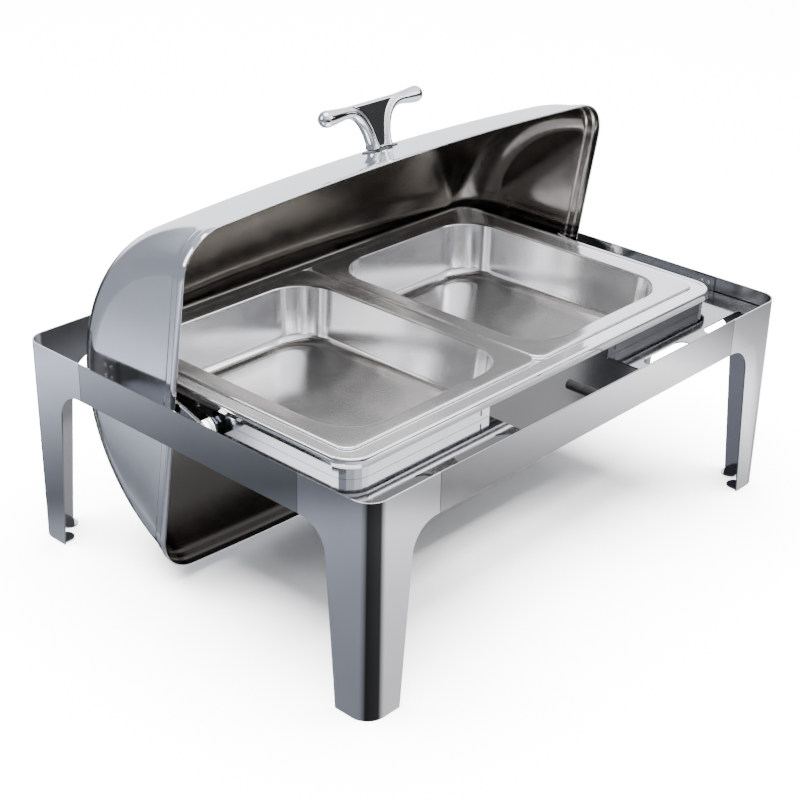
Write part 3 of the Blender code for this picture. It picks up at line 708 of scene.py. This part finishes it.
def make_water_pan():
    """A stepped rim, and a ledge with its own reach: the rim isn't one width all round."""
    low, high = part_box("water_pan")
    half_x, half_y, top = high
    floor = low[2] + PAN_SHEET
    rows = []
    for inset, z in pan_profile(top, floor, WATER_RIM):
        rows.append((half_x - inset, half_y - inset, WATER_RIM_ROUND - inset, z))
    for inset, z in pan_profile(top, floor, WATER_LEDGE, WATER_FOOT):
        share = min(1.0, max(0.0, inset / WATER_LEDGE_WIDTH))
        radius = WATER_CORNER + share * WATER_CORNER_GROWTH
        rows.append((WATER_LEDGE_X - inset, WATER_LEDGE_Y - inset, radius, z))
    bm = bmesh.new()
    add_pan(bm, rows)
    pan = finished_pan("water_pan_sheet", bm, PAN_STEEL, "water_pan")
    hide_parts("water_pan")


def make_food_pan(side):
    node = f"food_pan_{side}"
    low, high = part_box(node)
    centre_x = (low[0] + high[0]) / 2
    half_x = (high[0] - low[0]) / 2
    half_y = high[1]
    top = high[2]
    floor = low[2] + PAN_SHEET
    rows = []
    for inset, z in pan_profile(top, floor, FOOD_RIM):
        rows.append((half_x - inset, half_y - inset, FOOD_RIM_ROUND, z))
    for inset, z in pan_profile(top, floor, FOOD_LIP, FOOD_FOOT):
        radius = FOOD_CORNER - max(0.0, inset) * FOOD_CORNER_TAPER
        rows.append((half_x - FOOD_RIM_X - inset, half_y - FOOD_RIM_Y - inset, radius, z))
    bm = bmesh.new()
    add_pan(bm, rows, centre_x)
    pan = finished_pan(f"food_pan_sheet_{side}", bm, FOOD_STEEL, node)
    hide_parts(node)


# Lid.


def lid_profile():
    """(x, radius, normal along x, normal outward), from the lid's middle to its flat end."""
    straight = LID_HALF - LID_FILLET
    fall = LID_R_MID - LID_R_END
    start = math.atan(2 * fall / straight)
    fillet_r = LID_FILLET / (1 - math.sin(start))
    rows = []
    for k in range(LID_BOW_STEPS):
        x = straight * k / LID_BOW_STEPS
        radius = LID_R_MID - fall * (x / straight) ** 2
        slope = math.atan(2 * fall * x / straight**2)
        rows.append((x, radius, math.sin(slope), math.cos(slope)))
    centre_x = straight - fillet_r * math.sin(start)
    centre_r = LID_R_END - fillet_r * math.cos(start)
    for k in range(LID_FILLET_STEPS + 1):
        angle = start + (math.pi / 2 - start) * k / LID_FILLET_STEPS
        x = centre_x + fillet_r * math.sin(angle)
        radius = centre_r + fillet_r * math.cos(angle)
        rows.append((x, radius, math.sin(angle), math.cos(angle)))
    return rows


def column_angles(radius):
    """Angles of the grid's columns, from the upper rim to the lower, close set over the band."""
    band = [math.acos((RIM_OFFSET + depth) / radius) for depth, _ in RIM_STEPS]
    last = band[-1]
    middle = [last - 2 * last * k / LID_COLUMNS for k in range(1, LID_COLUMNS)]
    return band + middle + [-angle for angle in reversed(band)]


def lid_rows():
    """Rows of the lid's barrel, from its left end to its right, with the stepped band raised."""
    heights = [height for _, height in RIM_STEPS]
    flat = [0.0] * (LID_COLUMNS - 1)
    rises = heights + flat + heights[::-1]
    right = lid_profile()
    left = [(-x, radius, -out_x, out_r) for x, radius, out_x, out_r in reversed(right[1:])]
    for x, radius, out_x, out_r in left + right:
        row = []
        for angle, rise in zip(column_angles(radius), rises):
            reach = radius + rise * out_r
            # The band rises along the lid, so the rim's edge stays in its own plane.
            y = radius * math.cos(angle)
            z = math.sin(angle) * reach
            row.append((x + rise * out_x, y, z))
        yield row


def end_disc(bm, sign):
    """The flat end inside the fillet, with the stepped band along its straight edge."""
    x, radius, _, _ = lid_profile()[-1]
    angles = column_angles(radius)
    count = len(RIM_STEPS)
    inner = angles[count - 1 : len(angles) - count + 1]
    depths = [depth for depth, _ in RIM_STEPS]
    rises = [rise for _, rise in RIM_STEPS]

    def point(y, z, rise):
        return bm.verts.new((sign * (x + rise), y, z))

    def face(corners):
        bm.faces.new(corners if sign > 0 else corners[::-1])

    arc_points = [point(radius * math.cos(a), radius * math.sin(a), 0.0) for a in inner]
    lines = [
        [point(RIM_OFFSET + depth, radius * math.sin(a), rise) for a in inner]
        for depth, rise in zip(depths, rises)
    ]
    for k in range(len(inner) - 1):
        face((arc_points[k], arc_points[k + 1], lines[-1][k + 1], lines[-1][k]))
        for low, high in zip(lines, lines[1:]):
            face((high[k], high[k + 1], low[k + 1], low[k]))
    for upper in (True, False):
        edge = []
        for depth, rise in zip(depths, rises):
            angle = math.acos((RIM_OFFSET + depth) / radius)
            height = radius * math.sin(angle if upper else -angle)
            edge.append(point(RIM_OFFSET + depth, height, rise))
        column = 0 if upper else -1
        for k in range(count - 1):
            corners = (edge[k + 1], lines[k + 1][column], lines[k][column], edge[k])
            face(corners if upper else corners[::-1])


def make_lid():
    """Barrel and ends as one sheet, polished outside, with painted shade on the inside."""
    bm = bmesh.new()
    grid(bm, list(lid_rows()))
    for sign in (-1, 1):
        end_disc(bm, sign)
    clean(bm)
    bmesh.ops.recalc_face_normals(bm, faces=bm.faces)
    crown = max(bm.faces, key=lambda f: f.calc_center_median().y)
    if crown.normal.y < 0:
        bmesh.ops.reverse_faces(bm, faces=bm.faces)
    bm.transform(LID_FRAME)
    lid = finished("lid_sheet", bm, LID_STEEL, "lid")
    lid.data.materials.append(LID_INSIDE_SHADE)
    thicken(lid, LID_SHEET).modifiers["sheet"].material_offset = 1
    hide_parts("lid_shell")


# Handle.


def eased(values, share, k):
    """Catmull-Rom value between entries k and k + 1."""
    count = len(values)
    before, here, after, later = (values[min(max(k + n, 0), count - 1)] for n in (-1, 0, 1, 2))
    first = here * 2 + (after - before) * share
    second = (before * 2 - here * 5 + after * 4 - later) * share**2
    third = (here * 3 - before - after * 3 + later) * share**3
    return (first + second + third) / 2


def arm_line(sign):
    """An arm's middle line in fine steps: the left arm for 1, the right for -1."""
    points = [Vector((sign * x, *rest)) for x, *rest in ARM]
    for k in range(len(points) - 1):
        for step in range(ARM_STEPS):
            yield eased(points, step / ARM_STEPS, k)
    yield points[-1]


def add_tube(bm, line):
    """A closed tube along a line of (x, height, radius in plane, radius across)."""
    rings = []
    for k, here in enumerate(line):
        ahead = line[min(k + 1, len(line) - 1)] - line[max(k - 1, 0)]
        along = Vector((ahead[0], 0.0, ahead[1])).normalized()
        side = along.cross(Vector((0, 1, 0)))
        centre = Vector((here[0], 0.0, here[1]))
        ring = []
        for n in range(ARM_SIDES):
            angle = 2 * math.pi * n / ARM_SIDES
            across = Vector((0, here[3] * math.sin(angle), 0))
            offset = side * (here[2] * math.cos(angle)) + across
            ring.append(bm.verts.new(centre + offset))
        rings.append(ring)
    for low, high in zip(rings, rings[1:]):
        join_loops(bm, low, high)
    bm.faces.new(rings[0])
    bm.faces.new(rings[-1][::-1])


def add_knob(bm, sign):
    """The round end of an arm."""
    x, height, radius, _ = ARM[0]
    place = Matrix.Translation((sign * x, 0.0, height))
    bmesh.ops.create_uvsphere(
        bm, u_segments=KNOB_SIDES, v_segments=KNOB_RINGS, radius=radius, matrix=place
    )


def add_web(bm):
    """The flat three-cornered web between the arms."""
    front = [bm.verts.new((x, -WEB_HALF, z)) for x, z in WEB_OUTLINE]
    back = [bm.verts.new((x, WEB_HALF, z)) for x, z in WEB_OUTLINE]
    bm.faces.new(front)
    bm.faces.new(back[::-1])
    for k in range(len(WEB_OUTLINE)):
        bm.faces.new((front[k - 1], back[k - 1], back[k], front[k]))


def make_handle():
    """One casting: two arms, their knobs and the web, melted together."""
    bm = bmesh.new()
    for sign in (1, -1):
        add_tube(bm, list(arm_line(sign)))
        add_knob(bm, sign)
    add_web(bm)
    bmesh.ops.recalc_face_normals(bm, faces=bm.faces)
    back = Matrix.Rotation(-math.asin(HANDLE_BACK / LID_R_MID), 4, "X")
    bm.transform(LID_FRAME @ back @ Matrix.Translation((0, 0, LID_R_MID)))
    handle = finished("handle_casting", bm, CHROME, "lid", sharp=180.0)
    cast = handle.modifiers.new("cast", "REMESH")
    cast.mode = "VOXEL"
    cast.voxel_size = CAST_VOXEL
    cast.use_smooth_shade = True
    polish = handle.modifiers.new("polish", "SMOOTH")
    polish.factor = CAST_SMOOTHING
    polish.iterations = CAST_SMOOTH_PASSES
    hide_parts("lid_handle")


# Stage.

FLOOR_REACH = 30.0
FLOOR_COLOUR = (0.90, 0.90, 0.905, 1.0)
FLOOR_ROUGHNESS = 0.75


def make_floor():
    """A pale floor. The metal doesn't mirror it, because the surroundings give its reflections."""
    bm = bmesh.new()
    signs = ((-1, -1), (1, -1), (1, 1), (-1, 1))
    bm.faces.new([bm.verts.new((x * FLOOR_REACH, y * FLOOR_REACH, 0.0)) for x, y in signs])
    data = bpy.data.meshes.new("floor")
    bm.to_mesh(data)
    bm.free()
    look, _, shader = new_material("floor_paper")
    shader.inputs["Base Color"].default_value = FLOOR_COLOUR
    shader.inputs["Roughness"].default_value = FLOOR_ROUGHNESS
    data.materials.append(look)
    floor = bpy.data.objects.new("floor", data)
    floor.visible_glossy = False
    bpy.context.scene.collection.objects.link(floor)


# Softboxes: name, place, target, size, watts, and whether the metal mirrors it.
SOFTBOXES = (
    ("floor_wash", (0.0, 0.6, 7.0), (0.0, 0.6, 0.0), (9.0, 9.0), 13000.0, False),
    ("overhead_softbox", (-0.2, 0.1, 2.4), (0.0, 0.0, 0.2), (1.8, 1.8), 45.0, True),
    ("side_softbox", (-2.2, 1.2, 1.3), (0.0, 0.0, 0.2), (1.2, 1.6), 25.0, True),
    ("front_softbox", (1.6, -2.2, 1.6), (0.0, 0.0, 0.2), (1.4, 1.4), 20.0, True),
)


def softbox(name, place, target, size, power, mirrored):
    """A rectangular area light that faces a target."""
    data = bpy.data.lights.new(name, "AREA")
    data.shape = "RECTANGLE"
    data.size, data.size_y = size
    data.energy = power
    light = bpy.data.objects.new(name, data)
    light.visible_glossy = mirrored
    light.location = place
    toward = Vector(target) - Vector(place)
    light.rotation_euler = toward.to_track_quat("-Z", "Y").to_euler()
    bpy.context.scene.collection.objects.link(light)


# Heights of the surroundings' bands, from straight down (0) to straight up (1), and brightness.
SKY_BANDS = (
    (0.000, 1.20),
    (0.150, 0.90),
    (0.206, 1.05),
    (0.225, 1.20),
    (0.244, 1.75),
    (0.249, 0.95),
    (0.2535, 0.58),
    (0.264, 1.00),
    (0.275, 2.00),
    (0.289, 4.20),
    (0.309, 1.60),
    (0.330, 1.20),
    (0.500, 1.10),
    (0.600, 1.20),
    (0.760, 2.00),
    (1.000, 2.40),
)
# Tint and strength of the room at the back left and at the front right, and the way between them.
DIM_SIDE = (0.27, 0.29, 0.34)
LIT_SIDE = (0.97, 0.975, 1.0)
SIDE_DIRECTION = (1.0, -1.0, 0.0)
SIDE_RANGE = (-0.8, 0.8)
# Dark parts of the room: direction, where each starts and is full, and the light that is left.
DARK_PARTS = (
    ((-0.328, -0.772, -0.545), 0.57, 0.88, 0.04),
    ((0.307, 0.845, -0.438), 0.934, 0.966, 0.08),
    ((0.66, -0.73, 0.17), 0.88, 0.95, 0.05),
    ((0.966, -0.259, 0.0), 0.866, 0.886, 0.30),
)
# The bright wall at the back right: direction, where it starts and is full, and colour.
WALL_DIRECTION = (0.738, 0.674, 0.0)
WALL_RANGE = (0.80, 0.86)
WALL_COLOUR = (2.00, 2.05, 2.15, 1.0)


def dot(tree, parts, direction):
    """How far a separated vector lies along a direction."""
    shares = []
    for axis, share in zip(("X", "Y", "Z"), direction):
        scaled = tree.nodes.new("ShaderNodeMath")
        scaled.operation = "MULTIPLY"
        scaled.inputs[1].default_value = share
        tree.links.new(parts.outputs[axis], scaled.inputs[0])
        shares.append(scaled.outputs["Value"])
    return added(tree, added(tree, shares[0], shares[1]), shares[2])


def multiplied(tree, first, second):
    """Two colours multiplied."""
    made = tree.nodes.new("ShaderNodeMix")
    made.data_type = "RGBA"
    made.blend_type = "MULTIPLY"
    made.inputs["Factor"].default_value = 1.0
    tree.links.new(first, made.inputs["A"])
    tree.links.new(second, made.inputs["B"])
    return made.outputs["Result"]


def make_surroundings():
    """The room that the metal mirrors: bands by height, two sides, a bright wall and dark parts."""
    world = bpy.data.worlds.new("studio")
    world.use_nodes = True
    bpy.context.scene.world = world
    tree = world.node_tree
    where = tree.nodes.new("ShaderNodeTexCoord")
    parts = tree.nodes.new("ShaderNodeSeparateXYZ")
    tree.links.new(where.outputs["Generated"], parts.inputs["Vector"])
    ramp = tree.nodes.new("ShaderNodeValToRGB")
    bands = ramp.color_ramp.elements
    while len(bands) < len(SKY_BANDS):
        bands.new(0.5)
    for element, (position, value) in zip(bands, SKY_BANDS):
        element.position = position
        element.color = (value, value, value, 1.0)
    height = spread(tree, parts.outputs["Z"], 0.0, 1.0, -1.0, 1.0)
    tree.links.new(height, ramp.inputs["Fac"])
    across = spread(tree, dot(tree, parts, SIDE_DIRECTION), *NOISE_RANGE, *SIDE_RANGE)
    room = multiplied(tree, ramp.outputs["Color"], tinted(tree, across, DIM_SIDE, LIT_SIDE))
    wall = tree.nodes.new("ShaderNodeMix")
    wall.data_type = "RGBA"
    wall.inputs["B"].default_value = WALL_COLOUR
    tree.links.new(room, wall.inputs["A"])
    toward_wall = spread(tree, dot(tree, parts, WALL_DIRECTION), 0.0, 1.0, *WALL_RANGE)
    tree.links.new(toward_wall, wall.inputs["Factor"])
    tree.links.new(wall.outputs["Result"], tree.nodes["Background"].inputs["Color"])
    level = None
    for direction, start, full, rest in DARK_PARTS:
        left = spread(tree, dot(tree, parts, direction), 1.0, rest, start, full)
        level = added(tree, level, left, "MULTIPLY") if level else left
    tree.links.new(level, tree.nodes["Background"].inputs["Strength"])


CAMERA_PLACE = Vector((-1.182, -1.060, 0.920))
CAMERA_TARGET = Vector((-0.0891, -0.0617, 0.1795))
CAMERA_ROLL = math.radians(1.2)
CAMERA_LENS = 75.8
CAMERA_SENSOR = 36.0
CAMERA_REACH = 100.0


def make_camera():
    """Looks down over the front left corner."""
    data = bpy.data.cameras.new("camera")
    data.lens = CAMERA_LENS
    data.sensor_width = CAMERA_SENSOR
    data.clip_end = CAMERA_REACH
    camera = bpy.data.objects.new("camera", data)
    turn = (CAMERA_TARGET - CAMERA_PLACE).to_track_quat("-Z", "Y").to_matrix().to_4x4()
    roll = Matrix.Rotation(CAMERA_ROLL, 4, "Z")
    camera.matrix_world = Matrix.Translation(CAMERA_PLACE) @ turn @ roll
    bpy.context.scene.collection.objects.link(camera)
    bpy.context.scene.camera = camera


def build():
    make_camera()
    make_surroundings()
    make_floor()
    for settings in SOFTBOXES:
        softbox(*settings)
    dress_nodes()
    make_legs()
    make_welds()
    make_water_pan()
    for side in ("left", "right"):
        make_food_pan(side)
    make_lid()
    make_handle()


build()
